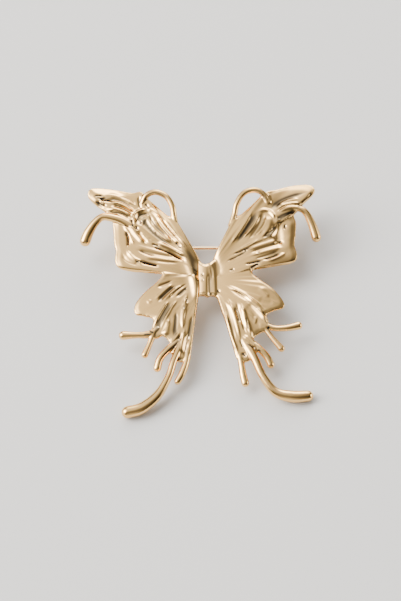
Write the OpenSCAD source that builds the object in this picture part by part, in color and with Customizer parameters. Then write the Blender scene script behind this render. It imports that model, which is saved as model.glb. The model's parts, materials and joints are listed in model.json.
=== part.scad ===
// Cast butterfly brooch with melted, dripping wings and a hinged pin on its back.
// It lies face up on its two tails, its pin joint and its catch, head end raised.
// The wing tables are in hundredths of half the width (across) and half the height
// (along), measured from the middle of the body, seen from the front.

/* [Butterfly] */
// Width over both upper drips
span_w = 58; // [50:1:66]
// Height from the wing tops to the tail ends
span_h = 58; // [50:1:66]
// How far the wings bow up out of their plane
relief = 3; // [2:0.1:3.6]
// Thickness of the cast wings
wing_t = 1.3; // [1:0.1:1.6]
// Radius that the drips, loops and tails are shares of
drip_r = 1; // [0.85:0.05:1.15]
// How far the tail ends hang below the wings' plane
tail_drop = 0.6; // [0.2:0.1:1.2]

/* [Body] */
// Radius of one gathered strand of the body
strand_r = 0.68; // [0.6:0.02:0.8]
// Height of the body's crown over the wings' plane
body_h = 2; // [1.4:0.1:2.6]

/* [Pin] */
// Distance from the middle to the hinge and to the catch, across
finding_x = 13.5; // [11:0.5:15]
// Height of the pin over the middle of the body, along
pin_y = 10.8; // [9:0.2:12]
// Distance from the wings' plane back to the middle of the pin
pin_depth = 6.5; // [6:0.1:7.5]
// Radius of the pin's wire
wire_r = 0.4; // [0.35:0.01:0.45]
// Radius of the pin's blunted point
point_r = 0.12; // [0.08:0.01:0.2]
// Length of the point past the middle of the catch
point_past = 2.2; // [1.5:0.1:3]
// Length of the pin's taper
taper_l = 6; // [5:0.5:8]
// Radius of the pin's eye
eye_r = 1.1; // [1:0.05:1.3]
// Width of the pin's eye
eye_w = 1.2; // [1:0.05:1.5]

/* [Joint and catch] */
// Radius of the hinge rivet
rivet_r = 0.36; // [0.3:0.01:0.42]
// Running clearance of the eye on the rivet
rivet_gap = 0.04; // [0.02:0.01:0.08]
// Radius of the rivet's heads
head_r = 0.75; // [0.65:0.05:0.9]
// Thickness of the rivet's heads
head_t = 0.35; // [0.25:0.05:0.5]
// Thickness of the joint's ears
ear_t = 0.6; // [0.5:0.05:0.8]
// Gap between findings that touch
seat_gap = 0.05; // [0.03:0.01:0.08]
// Radius of the findings' feet
foot_r = 2; // [1.8:0.1:2.4]
// Thickness of the findings' feet
foot_t = 0.5; // [0.4:0.05:0.7]
// Radius of the staked pegs
peg_r = 0.75; // [0.6:0.05:0.9]
// Length of the staked pegs
peg_l = 1.3; // [1:0.1:1.5]
// Distance from the wings' plane back to the bosses' faces
boss_depth = 2.2; // [2:0.1:2.5]

/* [Hidden] */
gold = [0.86, 0.72, 0.54];

// Columns of the wing tables: where each fold meets the wing's outline (out from the
// middle, up along the body), the outline's height there in hundredths of the relief, and
// the place of the fold's root down the body's side
OUT = 0;
UP = 1;
HIGH = 2;
ROOT = 3;
left_rim = [
    [27.5, 53.5, 40, 0],
    [33, 54.5, 35, 6],
    [42, 63, 35, 12],
    [51, 71, 45, 18],
    [55, 75.5, 50, 21],
    [63, 75, 40, 24],
    [77, 78, 30, 27],
    [90, 79, 40, 30],
    [97, 77.5, 55, 32],
    [98.8, 73, 50, 34],
    [95.5, 67.5, 40, 36],
    [84.5, 58, 40, 38],
    [79, 52.5, 30, 39],
    [77.3, 44, 10, 40],
    [75.8, 31, 5, 42],
    [74, 24, 10, 44],
    [74.6, 15.5, 0, 45],
    [71, 10.3, 0, 46],
    [58, 7, 10, 47],
    [43, 6.5, 25, 48],
    [36.5, 1.5, 40, 50],
    [41.5, -5.5, 30, 53],
    [51, -12.5, 20, 57],
    [58, -22, 10, 61],
    [58.3, -30.5, 10, 64],
    [51, -33, 20, 67],
    [43.8, -36, 30, 70],
    [44.5, -43.5, 25, 73],
    [46, -50.5, 20, 76],
    [41, -52.5, 20, 79],
    [36, -50.7, 30, 82],
    [30.5, -56, 30, 85],
    [30, -64.5, 20, 88],
    [24, -73.5, 15, 92],
    [13.5, -73, 15, 100],
];
right_rim = [
    [22, 53.5, 40, 0],
    [27, 55, 35, 6],
    [35.5, 63, 35, 12],
    [44, 71.5, 45, 18],
    [50, 76, 50, 21],
    [57, 77.8, 40, 24],
    [71, 82, 30, 27],
    [84, 82, 45, 30],
    [88.8, 78, 55, 32],
    [87, 73, 50, 34],
    [79.5, 65.5, 40, 36],
    [76, 60.5, 35, 38],
    [71.5, 56, 20, 40],
    [73, 49, 5, 41],
    [72.5, 38, 0, 42],
    [71.5, 29, 10, 44],
    [73.4, 19, 0, 45],
    [69, 13.8, 0, 46],
    [55, 10.8, 10, 47],
    [40, 9.3, 25, 48],
    [36.3, 4, 40, 50],
    [42, -2, 30, 53],
    [54, -9.5, 20, 57],
    [62, -19.5, 10, 61],
    [62.5, -25.5, 10, 64],
    [54, -28.8, 20, 67],
    [48.5, -33, 30, 70],
    [50, -39, 25, 73],
    [50.5, -46, 20, 76],
    [44, -47.8, 20, 79],
    [37.8, -53.5, 30, 82],
    [40, -59, 30, 85],
    [39, -66, 20, 88],
    [31, -71.5, 15, 92],
    [23, -69, 15, 100],
];
// Upper and lower ends of each wing's root line beside the body: out, up
left_root = [[4.5, 13], [6, -15.5]];
right_root = [[3, 13], [8, -16.5]];

// Columns of the fold tables: start, middle and end of each fold (out, up), its width in
// hundredths of half the width, and its height in hundredths of the relief, sunk if negative
FROM = [0, 1];
BY = FROM + [2, 2];
TO = BY + [2, 2];
WIDTH = TO.y + 1;
LIFT = WIDTH + 1;
left_folds = [
    [10, 22, 9.5, 12, 9, 2, 3.2, -40],
    [57, 48, 53, 56, 46, 53, 3.2, -40],
    [49, 52, 45, 41, 36, 31, 2.6, -22],
    [49, 44, 42, 33, 22, 22, 2, 22],
    [44, 49, 36, 38, 26, 31, 2.6, 25],
    [42, 58, 30, 42, 17, 27, 2.6, 18],
    [43, 27, 32, 23, 19, 16, 2.2, -26],
    [82, 56, 67, 50, 53, 32, 4, 34],
    [94, 72, 82, 69, 66, 62, 3.6, -34],
    [88, 76, 72, 72, 57, 62, 3.4, 16],
    [67, 42, 65, 35, 66, 28, 2.6, -24],
    [57, 14, 49, 12.5, 40, 10.5, 2.4, -24],
    [66, 19, 60, 13, 48, 9, 2.6, 12],
    [36, 1, 22, 2, 10, 0.5, 2.6, -20],
    [27, -7, 35, -15, 44, -24, 2.4, -24],
    [30, -23, 37, -33, 40, -46, 2.4, -26],
    [25, -31, 25, -38, 26, -47, 2.2, -22],
    [20, -20, 19, -33, 21, -45, 2.8, 18],
    [11.5, -34, 15, -48, 16, -68, 2, -22],
];
right_folds = [
    [4, 18, 6, 8, 5, -4, 3, -34],
    [13, 26, 12, 16, 12, 5, 2.8, 14],
    [46, 57, 44, 48, 36, 34, 3.2, -34],
    [39, 55, 35, 46, 27, 35, 2.4, -26],
    [47, 60, 55, 55, 56, 46, 2.4, 24],
    [55, 42, 53, 37, 48, 35, 2.2, -24],
    [49, 55, 50, 47, 47, 39, 2.6, 22],
    [50, 34, 38, 29.5, 22, 21, 2, 20],
    [37, 27, 30, 22.5, 17, 15, 2, -22],
    [59, 23, 48, 16, 27, 12, 2, -26],
    [60, 30, 49, 27, 38, 23, 2.6, 12],
    [60, 50, 60, 40, 61, 29, 3, -22],
    [67, 51, 67, 40, 67, 27, 3.6, 26],
    [58, 51, 65, 56, 74, 59, 2.4, -34],
    [54, 62, 65, 70.5, 79, 75, 3, -36],
    [60, 64, 70, 70, 84, 76, 3, 14],
    [25, -8, 35, -16, 47, -28, 2, -20],
    [34, -22, 42, -32, 46, -43, 2.6, 20],
    [31, -22, 35, -31, 38, -42, 2.8, -18],
    [28, -26, 32, -40, 36, -53, 2.4, 20],
    [17, -20, 20, -34, 24, -58, 2.4, 16],
    [26, -46, 26, -56, 28, -66, 2.2, -20],
];

// Columns of the strand tables: the first three as in the wing tables, and the strand's
// radius in hundredths of the drip radius
THICK = 3;
left_loop = [
    [26, 46, 30, 70], [27.5, 54, 45, 72], [29, 62, 70, 72], [34, 70, 85, 72], [43, 74, 85, 72],
    [50.5, 71.5, 70, 72], [54, 65.5, 45, 66],
];
left_upper_drip = [
    [70, 50, 30, 60], [79, 54, 50, 78], [87, 53, 45, 88], [93, 48.5, 25, 100],
    [98, 41.5, -5, 122], [100.8, 35, -30, 132],
];
left_drip_1 = [[40, -44, 25, 58], [48, -48.3, 20, 60], [57, -49.2, 15, 72], [68, -48.8, 0, 102]];
left_drip_2 = [[42, -46, 20, 60], [46, -56, 15, 56], [50.4, -65.7, 0, 74]];
left_drip_3 = [[24, -56, 20, 84], [32, -63, 25, 82], [38, -70, 15, 82], [40.3, -77.8, 0, 90]];
left_drip_4 = [[15.5, -62, 20, 62], [17, -74, 15, 76], [20.5, -84, 5, 84], [24, -90, -5, 80]];
left_tail = [
    [21, -58, 20, 100], [27.5, -73, 30, 84], [32, -86, 25, 84], [41, -101, 10, 112],
    [53, -111.2, 0, 135], [63.8, -114.6, 0, 142],
];
right_loop = [
    [19, 46, 30, 66], [22.5, 56, 45, 70], [24.3, 64, 70, 70], [30, 73, 85, 70], [39, 76, 85, 70],
    [46.5, 73, 70, 70], [50, 65.5, 45, 66],
];
right_upper_drip = [
    [57, 55, 40, 56], [65, 60, 60, 60], [74, 61, 50, 70], [81, 58, 40, 84], [86.5, 48.5, 5, 104],
    [90, 38.3, -30, 118],
];
right_drip_1 = [[45, -40, 25, 60], [54, -44, 20, 62], [64, -43.8, 15, 70], [74, -41, 0, 92]];
right_drip_2 = [[46, -42, 20, 58], [52.5, -51, 15, 54], [60, -60, 0, 80]];
right_drip_3 = [[32, -53, 20, 80], [41, -60.5, 25, 80], [48, -67.8, 15, 82], [51.4, -74.3, 0, 86]];
right_drip_4 = [[24.5, -62, 20, 62], [27, -74, 15, 72], [28.6, -84, 5, 86], [30.2, -90.6, -5, 92]];
right_tail = [
    [29, -56, 20, 110], [38, -71, 30, 96], [45, -85, 20, 96], [55, -96.5, 5, 116],
    [68, -100.8, 0, 140], [80.8, -99.8, 0, 130],
];

// Columns of the body table: the strand's place across at its top and at its foot, in
// hundredths of half the width, and its height in hundredths of the body's height
TOP_X = 0;
FOOT_X = 1;
CROWN = 2;
body_strands = [[-4, -4.6, 80], [-1.6, -1.6, 100], [0.6, 1.6, 100], [2.4, 4.6, 80]];
// Places along the body at which its strands have a middle, and their share of its crown
body_up = [[11, 70], [0, 100], [-13, 80]];

// Shares along each fold at which the wing's mesh has a row, and steps between folds
fold_steps = [0, 0.22, 0.42, 0.6, 0.75, 0.88, 0.965, 1];
steps_between = 2;
// Height of the wings' crown and thickness of their edge, in hundredths of relief and wall
crown_share = 30;
edge_share = 40;
strand_sides = 8;

function blend(a, b, t) = a + (b - a) * t;

// A smooth curve through the rows of a table, where s counts rows
function through(rows, s) =
    let(
        last = len(rows) - 1,
        i = min(floor(s), last - 1),
        f = s - i,
        p0 = rows[max(i - 1, 0)],
        p1 = rows[i],
        p2 = rows[i + 1],
        p3 = rows[min(i + 2, last)]
    )
    p1 + f * (0.5 * (p2 - p0) + f * ((p0 - 2.5 * p1 + 2 * p2 - 0.5 * p3)
        + f * (1.5 * (p1 - p2) + 0.5 * (p3 - p0))));

function gap_to_line(p, a, b) =
    let(d = b - a, t = max(0, min(1, ((p - a) * d) / (d * d))))
    norm(p - a - t * d);

function pick(row, columns) = [row[columns[0]], row[columns[1]]];

function fold_gap(p, fold) = min(
    gap_to_line(p, pick(fold, FROM), pick(fold, BY)),
    gap_to_line(p, pick(fold, BY), pick(fold, TO)));

function fold_lift(p, folds) =
    [for (fold = folds) fold[LIFT] * exp(-pow(fold_gap(p, fold) / fold[WIDTH], 2))]
    * [for (fold = folds) 1];

// From a table's hundredths to the brooch's own plane, with z out of its face
function placed(out, up, z) = [out * span_w / 200, up * span_h / 200, z];

function wing_point(rim, root, folds, s, t) =
    let(
        row = through(rim, s),
        from = blend(root[0], root[1], row[ROOT] / 100),
        p = blend(from, [row[OUT], row[UP]], t),
        high = row[HIGH] * t + crown_share * sin(180 * t) + fold_lift(p, folds)
    )
    placed(p.x, p.y, high * relief / 100);

function wing_columns(rim) = (len(rim) - 1) * steps_between;

function wing_points(rim, root, folds) =
    let(n = wing_columns(rim), m = len(fold_steps) - 1)
    [for (face = [1, -1], i = [0:n], j = [0:m])
        let(
            edge = (i == 0 || i == n || j == m) ? edge_share / 100 : 1,
            p = wing_point(rim, root, folds, i / steps_between, fold_steps[j])
        )
        p + [0, 0, face * edge * wing_t / 2]];

function quad(a, b, c, d) = [[a, b, c], [a, c, d]];

// Faces of a skin with two sheets of (n + 1) x (m + 1) points, closed round its edge
function skin_faces(n, m) =
    let(w = m + 1, back = (n + 1) * w)
    concat(
        [for (i = [0:n - 1], j = [0:m - 1])
            each quad(i * w + j, i * w + j + 1, (i + 1) * w + j + 1, (i + 1) * w + j)],
        [for (i = [0:n - 1], j = [0:m - 1])
            each quad(back + i * w + j, back + (i + 1) * w + j,
                back + (i + 1) * w + j + 1, back + i * w + j + 1)],
        [for (j = [0:m - 1]) each quad(j, back + j, back + j + 1, j + 1)],
        [for (j = [0:m - 1])
            each quad(n * w + j, n * w + j + 1, back + n * w + j + 1, back + n * w + j)],
        [for (i = [0:n - 1])
            each quad(i * w, (i + 1) * w, back + (i + 1) * w, back + i * w)],
        [for (i = [0:n - 1])
            each quad(i * w + m, back + i * w + m, back + (i + 1) * w + m, (i + 1) * w + m)]);

module wing(rim, root, folds) {
    polyhedron(
        points = wing_points(rim, root, folds),
        faces = skin_faces(wing_columns(rim), len(fold_steps) - 1));
}

// Middle of a strand at s rows along its table, where drop is how far its end hangs down
function strand_at(rows, s, drop) =
    let(row = through(rows, s), along = s / (len(rows) - 1))
    placed(row[OUT], row[UP], row[HIGH] * relief / 100 - drop * along * along);

function strand_radius(rows, s) = through(rows, s)[THICK] * drip_r / 100;

// Rings round a strand: its middle, its direction and its radius, with a round end
end_turns = [30, 60, 85];
function unit(v) = v / norm(v);

function strand_rings(rows, drop) =
    let(
        last = len(rows) - 1,
        tip = strand_at(rows, last, drop),
        way = unit(tip - strand_at(rows, last - 0.1, drop)),
        tip_r = strand_radius(rows, last)
    )
    concat(
        [for (i = [0:last * steps_between])
            let(
                s = i / steps_between,
                before = strand_at(rows, max(s - 0.1, 0), drop),
                after = strand_at(rows, min(s + 0.1, last), drop)
            )
            [strand_at(rows, s, drop), unit(after - before), strand_radius(rows, s)]],
        [for (turn = end_turns) [tip + way * tip_r * sin(turn), way, tip_r * cos(turn)]]);

function ring_points(ring) =
    let(side = unit(cross(ring[1], [0, 0, 1])), top = cross(side, ring[1]))
    [for (k = [0:strand_sides - 1])
        let(a = 360 * k / strand_sides)
        ring[0] + ring[2] * (cos(a) * side + sin(a) * top)];

function strand_points(rows, drop) =
    [for (ring = strand_rings(rows, drop)) each ring_points(ring)];

function tube_faces(rings, sides) =
    concat(
        [for (i = [0:rings - 2], k = [0:sides - 1])
            let(next = (k + 1) % sides)
            each quad(i * sides + k, i * sides + next, (i + 1) * sides + next, (i + 1) * sides + k)],
        [[for (k = [sides - 1:-1:0]) k]],
        [[for (k = [0:sides - 1]) (rings - 1) * sides + k]]);

module strand(rows, drop) {
    points = strand_points(rows, drop);
    polyhedron(points = points, faces = tube_faces(len(points) / strand_sides, strand_sides));
}

left_strands = [left_loop, left_upper_drip, left_drip_1, left_drip_2, left_drip_3, left_drip_4];
right_strands = [right_loop, right_upper_drip, right_drip_1, right_drip_2, right_drip_3,
    right_drip_4];

// The joint's ears and the left tail's end set how far the brooch tips forward at rest
finding_half = eye_w / 2 + seat_gap + ear_t;
ear_low = [pin_y - finding_half, -pin_depth - eye_r];
function tail_end(rows, drop) = strand_at(rows, len(rows) - 1, drop);
function tail_end_r(rows) = strand_radius(rows, len(rows) - 1);
left_end = tail_end(left_tail, tail_drop);
ear_from_end = [ear_low.x - left_end.y, ear_low.y - left_end.z];
rest_tilt = asin(-tail_end_r(left_tail) / norm(ear_from_end)) - atan2(ear_from_end.y, ear_from_end.x);

// The right tail drops until its end touches the same surface
right_drop = tail_drop + (tail_end_r(left_tail) - tail_end_r(right_tail)) / cos(rest_tilt)
    + (tail_end(right_tail, 0).y - left_end.y) * tan(rest_tilt);

function tipped(p) = [
    p.x,
    p.y * cos(rest_tilt) - p.z * sin(rest_tilt),
    p.y * sin(rest_tilt) + p.z * cos(rest_tilt)];

function half_points(rim, root, folds, strands, tail, drop) = concat(
    wing_points(rim, root, folds),
    [for (rows = strands) each strand_points(rows, 0)],
    strand_points(tail, drop));

cast_points = concat(
    [for (p = half_points(left_rim, left_root, left_folds, left_strands, left_tail, tail_drop))
        tipped([-p.x, p.y, p.z])],
    [for (p = half_points(right_rim, right_root, right_folds, right_strands, right_tail, right_drop))
        tipped(p)]);
ear_floor = tipped([0, ear_low.x, ear_low.y]).z;
lowest = [for (axis = [0:2]) min([for (p = cast_points) p[axis]])];
highest = [for (axis = [0:2]) max([for (p = cast_points) p[axis]])];
rest_shift = [
    -(lowest.x + highest.x) / 2,
    -(lowest.y + highest.y) / 2,
    -ear_floor];

module at_rest() {
    translate(rest_shift) rotate([rest_tilt, 0, 0]) children();
}

// A boss from the middle of a wing down to the plane that the findings' feet sit on
module boss(rim, root, folds) {
    skin = wing_points(rim, root, folds);
    sheet = len(skin) / 2;
    intersection() {
        translate([finding_x, pin_y, -boss_depth])
        cylinder(r = foot_r, h = boss_depth + 2 * relief, $fn = 24);
        polyhedron(
            points = concat(
                [for (i = [0:sheet - 1]) (skin[i] + skin[sheet + i]) / 2],
                [for (i = [0:sheet - 1]) [skin[i].x, skin[i].y, -boss_depth]]),
            faces = skin_faces(wing_columns(rim), len(fold_steps) - 1));
    }
}

module half(rim, root, folds, strands, tail, drop) {
    wing(rim, root, folds);
    boss(rim, root, folds);
    for (rows = strands) strand(rows, 0);
    strand(tail, drop);
}

module body_strand(row) {
    steps = len(body_up) - 1;
    for (i = [0:steps - 1]) hull() {
        for (k = [i, i + 1])
            translate(placed(blend(row[TOP_X], row[FOOT_X], k / steps), body_up[k][0],
                (body_h - strand_r) * body_up[k][1] * row[CROWN] / 10000))
            sphere(strand_r, $fn = 12);
    }
}

// The solid middle under the strands, which both wings grow out of
module body_core() {
    corners = [
        [-left_root[0].x, left_root[0].y],
        [right_root[0].x, right_root[0].y],
        [right_root[1].x, right_root[1].y],
        [-left_root[1].x, left_root[1].y]];
    translate([0, 0, -wing_t])
    linear_extrude(height = wing_t + strand_r / 2)
    offset(r = strand_r / 2, $fn = 24)
    polygon([for (p = corners) [placed(p.x, p.y, 0).x, placed(p.x, p.y, 0).y]]);
}

module body_knot() {
    body_core();
    for (row = body_strands) body_strand(row);
}

module socket(x) {
    facets = 24;
    translate([x, pin_y, -boss_depth - seat_gap])
    cylinder(r = (peg_r + seat_gap) / cos(180 / facets), h = peg_l + 2 * seat_gap, $fn = facets);
}

module butterfly() {
    color(gold) at_rest() difference() {
        union() {
            mirror([1, 0, 0])
            half(left_rim, left_root, left_folds, left_strands, left_tail, tail_drop);
            half(right_rim, right_root, right_folds, right_strands, right_tail, right_drop);
            body_knot();
        }
        socket(-finding_x);
        socket(finding_x);
    }
}

foot_face = -boss_depth - seat_gap - foot_t;

// A disc with the peg that is staked into its boss
module foot(x) {
    translate([x, pin_y, foot_face]) cylinder(r = foot_r, h = foot_t);
    translate([x, pin_y, foot_face]) cylinder(r = peg_r, h = foot_t + peg_l);
}

module along_y(x, from, length, r) {
    translate([x, from, -pin_depth]) rotate([-90, 0, 0]) cylinder(r = r, h = length);
}

// Two plates, one each side of the pin, from their foot down past the pin
module ears(x, inner_half) {
    ear = finding_half - inner_half;
    for (y = [pin_y - finding_half, pin_y + inner_half]) {
        along_y(x, y, ear, eye_r);
        translate([x - eye_r, y, -pin_depth]) cube([2 * eye_r, ear, pin_depth + foot_face]);
    }
}

module pin_joint() {
    color(gold) at_rest() difference() {
        union() {
            foot(-finding_x);
            ears(-finding_x, eye_w / 2 + seat_gap);
        }
        along_y(-finding_x, pin_y - foot_r, 2 * foot_r, rivet_r + rivet_gap);
    }
}

module joint_rivet() {
    head_from = finding_half + seat_gap;
    color(gold) at_rest() {
        along_y(-finding_x, pin_y - head_from - head_t / 2, 2 * head_from + head_t, rivet_r);
        along_y(-finding_x, pin_y - head_from - head_t, head_t, head_r);
        along_y(-finding_x, pin_y + head_from, head_t, head_r);
    }
}

pin_l = 2 * finding_x + point_past;
module pin_stem() {
    straight = pin_l - taper_l;
    wire_from = rivet_r + wire_r;
    color(gold) at_rest() difference() {
        union() {
            along_y(-finding_x, pin_y - eye_w / 2, eye_w, eye_r);
            translate([-finding_x, pin_y, -pin_depth]) rotate([0, 90, 0]) {
                translate([0, 0, wire_from]) cylinder(r = wire_r, h = straight - wire_from);
                translate([0, 0, straight]) cylinder(r1 = wire_r, r2 = point_r, h = taper_l);
                translate([0, 0, pin_l]) sphere(point_r);
            }
        }
        along_y(-finding_x, pin_y - eye_w, 2 * eye_w, rivet_r + rivet_gap);
    }
}

// Half the width of the catch's slot, clear of the pin's taper where it is thickest there
slot_half = point_r + (wire_r - point_r) * (point_past + eye_r) / taper_l + seat_gap;
module catch() {
    slot_floor = -pin_depth + slot_half;
    color(gold) at_rest() {
        foot(finding_x);
        ears(finding_x, slot_half);
        translate([finding_x - eye_r, pin_y - finding_half, slot_floor])
        cube([2 * eye_r, 2 * finding_half, foot_face - slot_floor]);
    }
}

butterfly();
pin_joint();
joint_rivet();
pin_stem();
catch();
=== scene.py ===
"""A cast butterfly brooch in polished champagne gold, lying face up on a pale floor.

The brooch is modelled in its own plane: x across, y along the body towards the upper wings
and z out of its face, in millimetres. The tables of the wings and strands are in hundredths
of half the width and half the height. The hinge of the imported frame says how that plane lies
in the world.
"""
import json
import logging
import math
from collections.abc import Callable
from dataclasses import dataclass
from enum import Enum
from functools import reduce
from typing import ClassVar

import bmesh
import bpy
import numpy as np
from bmesh.types import BMesh, BMVert
from mathutils import Matrix, Vector


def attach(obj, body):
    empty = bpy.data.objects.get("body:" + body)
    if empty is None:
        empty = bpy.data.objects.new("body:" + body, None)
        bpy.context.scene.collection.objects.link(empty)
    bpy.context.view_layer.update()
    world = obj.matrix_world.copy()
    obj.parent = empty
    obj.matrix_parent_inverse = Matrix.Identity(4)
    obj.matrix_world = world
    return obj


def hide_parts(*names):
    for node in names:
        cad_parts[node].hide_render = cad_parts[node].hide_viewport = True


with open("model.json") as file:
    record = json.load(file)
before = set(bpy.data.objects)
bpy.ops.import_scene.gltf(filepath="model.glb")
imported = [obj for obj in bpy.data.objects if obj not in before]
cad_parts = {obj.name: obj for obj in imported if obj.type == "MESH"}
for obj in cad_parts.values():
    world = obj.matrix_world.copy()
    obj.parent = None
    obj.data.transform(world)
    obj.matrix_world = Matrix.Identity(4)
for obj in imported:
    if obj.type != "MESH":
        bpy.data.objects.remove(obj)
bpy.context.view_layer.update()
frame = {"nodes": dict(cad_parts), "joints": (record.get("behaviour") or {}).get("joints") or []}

log = logging.getLogger("brooch")

Array = np.ndarray
Point = tuple[float, float]
Row = tuple[float, ...]
Table = tuple[Row, ...]
Triple = tuple[float, float, float]
Paint = tuple[float, float, float, float]

MM = 0.001
HALF_W = 29.0  # mm: 100 across in the tables
HALF_H = 29.0  # mm: 100 along in the tables
RELIEF = 3.0  # mm: 100 of height in the tables
DRIP_R = 1.0  # mm: 100 of radius in the tables
SIGHT = 0.383  # how far up the photograph's line of sight carries a height of 1


class FoldShape(Enum):
    """Cross-section of a fold."""

    ROUND = "a bell: a soft ridge or valley"
    CREASE = "a sharp ridge or valley"


@dataclass(frozen=True)
class Fold:
    """One fold of a wing, along a curve through three places.

    The places and the width are in hundredths of the half size, as seen along the photograph's
    line of sight. The lift is in hundredths of the relief, and sunk where it is negative. The
    shade tone is how dark the painted shade at its bottom is, from 0 to 1. Folds narrower than
    broad grow narrower along their course and at both ends.
    """

    reach: ClassVar[float] = 3.5
    broad: ClassVar[float] = 3.0
    start_fade: ClassVar[float] = 0.28
    end_fade: ClassVar[float] = 0.22
    start_width: ClassVar[float] = 1.15
    taper: ClassVar[float] = 0.5
    tip_width: ClassVar[float] = 0.35
    tip_strength: ClassVar[float] = 0.08
    crease_fall: ClassVar[float] = 1.6
    crease_soft: ClassVar[float] = 0.04
    shade_width: ClassVar[float] = 0.85

    start: Point
    middle: Point
    end: Point
    width: float
    lift: float
    # tone: painted shade, the darkness laid into the fold's bottom where shade falls
    tone: float = 0.0
    shape: FoldShape = FoldShape.ROUND

    def course(self, steps: int = 12) -> Array:
        """Points along the fold's curve.

        Args:
            steps: how many straight pieces stand for the curve.

        Returns:
            An array of steps + 1 places.
        """
        a, m, b = (np.array(p, float) for p in (self.start, self.middle, self.end))
        t = np.linspace(0.0, 1.0, steps + 1)[:, None]
        return a * (1 - t) * (1 - 2 * t) + m * 4 * t * (1 - t) + b * t * (2 * t - 1)

    def near(self, places: Array) -> tuple[Array, Array, Array]:
        """How the places lie to the fold.

        Args:
            places: places in hundredths, one row each.

        Returns:
            Which places are near it, and for those their distance in widths and the fold's
            strength there, which fades at its ends.
        """
        course = self.course()
        reach = self.reach * self.width
        close = np.all((places > course.min(0) - reach) & (places < course.max(0) + reach), axis=1)
        p = places[close]
        best = np.full(len(p), np.inf)
        share = np.zeros(len(p))
        pieces = len(course) - 1
        for i in range(pieces):
            a, d = course[i], course[i + 1] - course[i]
            t = np.clip((p - a) @ d / (d @ d), 0.0, 1.0)
            off = p - a - t[:, None] * d
            gap = np.hypot(off[:, 0], off[:, 1])
            closer = gap < best
            best[closer] = gap[closer]
            share[closer] = ((i + t) / pieces)[closer]
        ends = smooth_step(np.minimum(share / self.start_fade, (1 - share) / self.end_fade))
        narrowing = 1.0
        if self.width < self.broad:
            narrowing = ((self.start_width - self.taper * share)
                         * (self.tip_width + (1 - self.tip_width) * ends))
        strength = (1 - self.tip_strength) * ends + self.tip_strength
        return close, best / (self.width * narrowing), strength

    def heights(self, places: Array) -> Array:
        """How much the fold lifts each place.

        Args:
            places: places in hundredths, one row each.

        Returns:
            The lift of each, in hundredths of the relief.
        """
        lift = np.zeros(len(places))
        close, gap, strength = self.near(places)
        if self.shape is FoldShape.ROUND:
            form = np.exp(-gap ** 2)
        else:
            blunt = math.sqrt(self.crease_soft)
            form = np.exp(-self.crease_fall * (np.sqrt(gap ** 2 + self.crease_soft) - blunt))
        lift[close] = self.lift * form * strength
        return lift

    def shades(self, places: Array) -> Array:
        """How much painted shade the fold lays on the plating at each place.

        Args:
            places: places in hundredths, one row each.

        Returns:
            The painted shade of each, from 0 to 1.
        """
        shade = np.zeros(len(places))
        close, gap, strength = self.near(places)
        # painted shade: darkest along the fold's middle, fading at its ends
        shade[close] = self.tone * np.exp(-(gap / self.shade_width) ** 4) * strength
        return shade


def through(rows: Table, s: Array) -> Array:
    """A smooth curve through the rows of a table.

    Args:
        rows: the table.
        s: places along it, in rows.

    Returns:
        One blended row for each place.
    """
    table = np.array(rows, float)
    last = len(table) - 1
    i = np.minimum(np.floor(s).astype(int), last - 1)
    f = (s - i)[:, None]
    p0, p1 = table[np.maximum(i - 1, 0)], table[i]
    p2, p3 = table[i + 1], table[np.minimum(i + 2, last)]
    return p1 + f * (0.5 * (p2 - p0) + f * ((p0 - 2.5 * p1 + 2 * p2 - 0.5 * p3)
                                            + f * (1.5 * (p1 - p2) + 0.5 * (p3 - p0))))


def as_seen(height: Array) -> Array:
    """How far up, in hundredths, the line of sight carries what stands this high in mm."""
    return SIGHT * height * 100 / HALF_H


def shades_of(folds: tuple[Fold, ...], seen: Array) -> Array:
    """How much painted shade the folds lay on the plating at places in hundredths, from 0 to 1."""
    toned = (fold.shades(seen) for fold in folds if fold.tone)
    return reduce(np.maximum, toned, np.zeros(len(seen)))


def in_mm(out: Array, up: Array, height: Array) -> Array:
    """Points from places out and up, in hundredths, and heights in millimetres."""
    return np.column_stack([out * HALF_W / 100, up * HALF_H / 100, height])


def smooth_step(t: Array) -> Array:
    """An S-curve from 0 to 1."""
    t = np.clip(t, 0.0, 1.0)
    return t * t * (3 - 2 * t)


@dataclass(frozen=True)
class RestPose:
    """How the brooch's own plane lies in the world, read from the hinge of its pin.

    The hinge's place in that plane is in millimetres.
    """

    hinge_x: float = -13.5
    hinge_y: float = 10.8
    hinge_z: float = -6.5

    def matrix(self) -> Matrix:
        """Works out how to lay the brooch in the world.

        Returns:
            The move from the brooch's plane, in millimetres, to the world, in metres.
        """
        joint = frame["joints"][0]
        axis = Vector(joint["axis"])
        turn = Matrix.Rotation(math.atan2(axis.z, axis.y), 4, "X")
        hinge = turn @ (Vector((self.hinge_x, self.hinge_y, self.hinge_z)) * MM)
        move = Matrix.Translation(Vector(joint["pos_m"]) - hinge)
        return move @ turn @ Matrix.Scale(MM, 4)


def walled_sheet(bm: BMesh, columns: int, rows: int,
                 shape: Callable[[Array, Array], tuple[Array, Array]]) -> None:
    """Builds a closed sheet from a grid: its face, its back and the walls between them.

    Args:
        bm: an empty mesh to build in.
        columns: grid faces along the sheet.
        rows: grid faces across it.
        shape: gives the face's and the back's points for shares along and across.
    """
    layer = bm.verts.layers.int.new("place")
    front = bmesh.ops.create_grid(bm, x_segments=columns, y_segments=rows, size=1.0)["verts"]
    co = np.array([v.co for v in front])
    face, back = shape((co[:, 0] + 1) / 2, (co[:, 1] + 1) / 2)
    for i, vert in enumerate(front):
        vert[layer] = i
    made = bmesh.ops.extrude_face_region(bm, geom=bm.faces[:], use_keep_orig=True)["geom"]
    for vert in made:
        if isinstance(vert, BMVert):
            vert.co = back[vert[layer]]
    for vert, place in zip(front, face):
        vert.co = place
    bmesh.ops.recalc_face_normals(bm, faces=bm.faces)


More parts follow.
